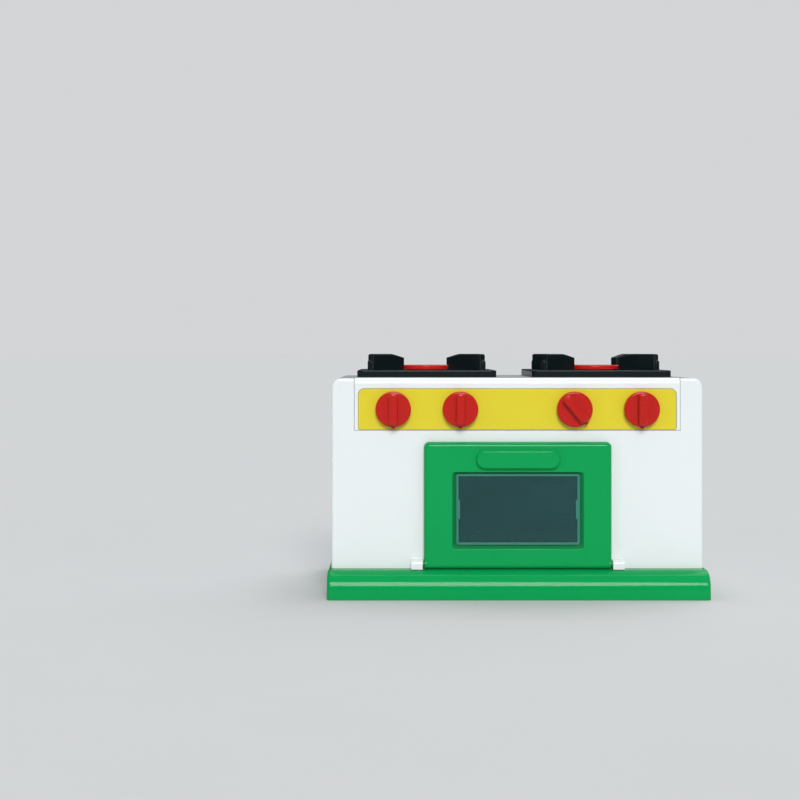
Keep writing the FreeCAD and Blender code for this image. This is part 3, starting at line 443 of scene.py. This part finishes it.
def screw_tree(finish):
    """Pan-head screws with a cross recess, one on each point, each driven to a turn of its own."""
    graph, size = growing("cross-head screws", "Head Radius", "Head Height", "Shank Radius", "Shank Length",
                          "Tilt")
    radius = size["Head Radius"]
    height = size["Head Height"]
    drum = graph.node("GeometryNodeMeshCylinder", {"fill_type": "NGON"}, {
        "Vertices": SCREW_SIDES, "Side Segments": DOME_RINGS, "Radius": radius, "Depth": height})
    place = graph.node("GeometryNodeInputPosition")
    x, y, z = graph.node("ShaderNodeSeparateXYZ", None, {0: place}, (0, 1, 2))
    rise = z / height + 0.5
    waist = (1 - rise ** 3 * DOME_NARROWING) ** 0.5
    domed = graph.node("GeometryNodeSetPosition", None, {
        "Geometry": drum,
        "Position": graph.node("ShaderNodeCombineXYZ", None, {0: x * waist, 1: y * waist, 2: rise * height})})
    arms = []
    for along, across in ((RECESS_LENGTH, RECESS_WIDTH), (RECESS_WIDTH, RECESS_LENGTH)):
        arm = graph.node("GeometryNodeMeshCube", None, {"Size": graph.node("ShaderNodeCombineXYZ", None, {
            0: radius * along, 1: radius * across, 2: height})})
        arms.append(moved(graph, arm, graph.node("ShaderNodeCombineXYZ", None, {2: height * RECESS_RISE})))
    head = graph.node("GeometryNodeMeshBoolean", {"operation": "DIFFERENCE"}, {
        "Mesh 1": domed, "Mesh 2": arms})
    shank = graph.node("GeometryNodeMeshCylinder", {"fill_type": "NGON"}, {
        "Vertices": SCREW_SIDES // 2, "Radius": size["Shank Radius"], "Depth": size["Shank Length"]})
    groove_shade_and_matt = moved(graph, shank, graph.node("ShaderNodeCombineXYZ", None, {
        2: height * SHANK_OVERLAP - size["Shank Length"] / 2}))
    screw = graph.node("GeometryNodeMeshBoolean", {"operation": "UNION"}, {"Mesh 2": [head, groove_shade_and_matt]})
    spin = graph.node("FunctionNodeRandomValue", {"data_type": "FLOAT"}, {
        "Min": 0.0, "Max": FULL_TURN, "Seed": SCREW_SEED}, 1)
    turned = graph.node("FunctionNodeAxisAngleToRotation", None, {"Axis": (0, 0, 1), "Angle": spin})
    tilted = graph.node("FunctionNodeAxisAngleToRotation", None, {"Axis": (1, 0, 0), "Angle": size["Tilt"]})
    facing = graph.node("FunctionNodeRotateRotation", {"rotation_space": "LOCAL"}, {
        "Rotation": tilted, "Rotate By": turned})
    copies = graph.node("GeometryNodeInstanceOnPoints", None, {
        "Points": size["Points"], "Instance": screw, "Rotation": facing})
    return close(graph, copies, finish)


def shelf_tree(finish, bars):
    """A shelf of round-edged bars in a round-edged border, centred on each point."""
    graph, size = growing("barred shelf", "Width", "Depth", "Thickness", "Border", "Bar", "Edge Round")

    def profile(width):
        flat = graph.node("GeometryNodeCurvePrimitiveQuadrilateral", None, {
            "Width": width, "Height": size["Thickness"]})
        return graph.node("GeometryNodeFilletCurve", {"mode": "POLY"}, {
            "Curve": flat, "Count": 3, "Radius": size["Edge Round"]})

    def swept(path, width):
        return graph.node("GeometryNodeCurveToMesh", None, {
            "Curve": path, "Profile Curve": profile(width), "Fill Caps": True})

    loop = graph.node("GeometryNodeCurvePrimitiveQuadrilateral", None, {
        "Width": size["Width"] - size["Border"], "Height": size["Depth"] - size["Border"]})
    reach = (size["Depth"] - size["Border"]) / 2
    run = graph.node("GeometryNodeCurvePrimitiveLine", None, {
        "Start": graph.node("ShaderNodeCombineXYZ", None, {1: 0 - reach}),
        "End": graph.node("ShaderNodeCombineXYZ", None, {1: reach})})
    pitch = (size["Width"] - 2 * size["Border"] + size["Bar"]) / (bars + 1)
    row = graph.node("GeometryNodeMeshLine", {"mode": "OFFSET"}, {
        "Count": bars,
        "Start Location": graph.node("ShaderNodeCombineXYZ", None, {0: pitch * (1 - bars) / 2}),
        "Offset": graph.node("ShaderNodeCombineXYZ", None, {0: pitch})})
    slats = graph.node("GeometryNodeInstanceOnPoints", None, {
        "Points": row, "Instance": swept(run, size["Bar"])})
    whole = graph.node("GeometryNodeJoinGeometry", None, {
        "Geometry": [swept(loop, size["Border"]), slats]})
    copies = graph.node("GeometryNodeInstanceOnPoints", None, {"Points": size["Points"], "Instance": whole})
    return close(graph, copies, finish)


def screws(name, node, body, tree, axis, outward, radius, height, shank):
    """Screws at the corners of a node's box, whose heads face outward along an axis."""
    low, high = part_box(node)
    seat = (high if outward > 0 else low)[axis] - outward * height
    across = [place for place in range(3) if place != axis]
    points = []
    for first in (low[across[0]] + radius, high[across[0]] - radius):
        for second in (low[across[1]] + radius, high[across[1]] - radius):
            point = [seat, seat, seat]
            point[across[0]] = first
            point[across[1]] = second
            points.append(point)
    tilt = -QUARTER_TURN if axis == DEPTH_AXIS else 2 * QUARTER_TURN
    grown(name, tree, points, {
        "Head Radius": radius, "Head Height": height, "Shank Radius": shank,
        "Shank Length": high[axis] - low[axis] - height, "Tilt": tilt}, body, node)


def shelf():
    """The oven's shelf, as wide, deep and thick as its node."""
    low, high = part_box("oven_shelf")
    width, depth, thick = high - low
    grown("barred_shelf", shelf_tree(finishes[slot_of["oven_shelf"]], SHELF_BARS), [(low + high) / 2], {
        "Width": width, "Depth": depth, "Thickness": thick, "Border": SHELF_BORDER, "Bar": SHELF_BAR,
        "Edge Round": SHELF_EDGE}, "cabinet", "oven_shelf")


cross_head = screw_tree(finishes["screw_steel"])
screws("rear_cover_screws", "rear_screws", "cabinet", cross_head, DEPTH_AXIS, 1, *WALL_SCREW)
screws("base_plate_screws", "base_screws", "cabinet", cross_head, HEIGHT_AXIS, -1, *WALL_SCREW)
screws("inner_panel_screws", "retainer_screws", "door", cross_head, DEPTH_AXIS, 1, *PANEL_SCREW)
shelf()


# Stage

PALE = (0.62, 0.63, 0.64)
FLOOR_REACH = 60.0
FLOOR_CLOUD_SIZE = 90 * MM
BACKDROP = 0.662
SKY = (0.93, 0.97, 1.0)
LOW_SKY = 0.08
HIGH_SKY = 0.40
SKY_RISE = (0.1, 0.7)

# Name, direction, width in degrees, strength and colour
LAMPS = (
    ("key", (0.03, -0.88, 0.52), 24, 2.15, (1.0, 0.99, 0.97)),
    ("top", (0.10, 0.30, 1.1), 40, 0.8, (1.0, 1.0, 1.0)),
    ("rear", (0.40, 0.70, 0.80), 50, 0.5, (1.0, 1.0, 1.0)),
    ("side", (-0.80, -0.62, 0.22), 12, 0.14, (0.97, 0.99, 1.0)),
    ("side", (0.80, -0.62, 0.22), 12, 0.14, (0.97, 0.99, 1.0)),
)


def floor():
    """A wide pale floor."""
    corners = [(FLOOR_REACH * x, FLOOR_REACH * y, 0) for x, y in ((-1, -1), (1, -1), (1, 1), (-1, 1))]
    mesh = bpy.data.meshes.new("floor")
    mesh.from_pydata(corners, [], [(0, 1, 2, 3)])
    ground = bpy.data.objects.new("floor", mesh)
    bpy.context.scene.collection.objects.link(ground)

    def sockets(graph, place):
        clouds = noise(graph, place, FLOOR_CLOUD_SIZE, 4.0)
        return {"Base Color": graph.mix(shade(PALE, 0.985), shade(PALE, 1.015), clouds),
                "Roughness": 0.9, "Specular IOR Level": 0.0}
    mesh.materials.append(surface("pale floor", sockets))


def lamp(name, towards, width, strength, colour):
    """A far round lamp in some direction, some degrees wide, which lights the whole floor alike."""
    light = bpy.data.lights.new(name, "SUN")
    light.angle = math.radians(width)
    light.energy = strength
    light.color = colour
    hung = bpy.data.objects.new(name, light)
    hung.location = towards
    hung.rotation_euler = Vector(towards).to_track_quat("Z", "Y").to_euler()
    bpy.context.scene.collection.objects.link(hung)


def studio():
    """The lamps, a dim sky that lights the part, and the plain backdrop that the camera sees instead."""
    world = bpy.data.worlds.new("studio")
    world.use_nodes = True
    graph = Graph(world.node_tree)
    seen = graph.node("ShaderNodeLightPath")
    height = graph.node("ShaderNodeSeparateXYZ", None, {0: graph.node("ShaderNodeTexCoord", output=0)}, 2)
    light = graph.node("ShaderNodeBackground", None, {
        "Color": shade(SKY, 1.0),
        "Strength": LOW_SKY + band(graph, height, *SKY_RISE) * (HIGH_SKY - LOW_SKY)})
    backdrop = graph.node("ShaderNodeBackground", None, {
        "Color": shade(PALE, BACKDROP / PALE[1]), "Strength": 1.0})
    mixed = graph.node("ShaderNodeMixShader", None, {0: seen, 1: light, 2: backdrop})
    graph.node("ShaderNodeOutputWorld", None, {"Surface": mixed})
    bpy.context.scene.world = world
    for settings in LAMPS:
        lamp(*settings)


def camera():
    """The eye, level and facing straight back, with its picture shifted to the view's middle."""
    data = bpy.data.cameras.new("eye")
    data.sensor_width = SENSOR
    data.lens = SENSOR * EYE_DISTANCE / VIEW_WIDTH
    data.shift_y = (VIEW_MIDDLE_HEIGHT - EYE_HEIGHT) / VIEW_WIDTH
    eye = bpy.data.objects.new("eye", data)
    eye.location = (EYE_SIDE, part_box("hob_plate")[0].y - EYE_DISTANCE, EYE_HEIGHT)
    eye.rotation_euler = (QUARTER_TURN, 0, 0)
    bpy.context.scene.collection.objects.link(eye)
    bpy.context.scene.camera = eye


floor()
studio()
camera()
bpy.context.scene.view_settings.view_transform = "Standard"
